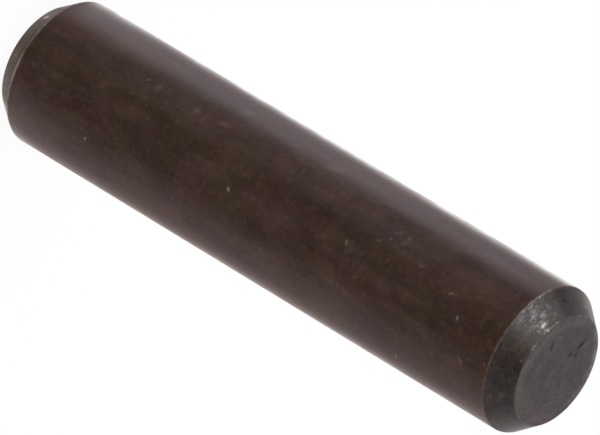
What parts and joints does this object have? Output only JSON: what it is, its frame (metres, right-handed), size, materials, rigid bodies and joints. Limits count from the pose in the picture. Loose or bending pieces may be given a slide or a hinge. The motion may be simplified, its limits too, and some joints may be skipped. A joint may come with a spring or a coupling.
{
  "type": "dowel pin",
  "caption": "Plain round steel dowel pin with a dark oxide finish and a long chamfer on each end, pressed into reamed holes to locate parts.",
  "frame": {"origin": "centre of the flat face of the bottom end, on which the pin stands", "axes": "+Z along the pin's axis, from the bottom end towards the top end; X and Y are free, because the pin is round"},
  "size_m": [0.008, 0.008, 0.035],
  "materials": {
    "oxide_steel": "dark brown-black oxide, satin, with fine turning marks on the chamfers and bright worn edges"
  },
  "bodies": {
    "root": {"dowel_pin": "oxide_steel"}
  },
  "joints": []
}
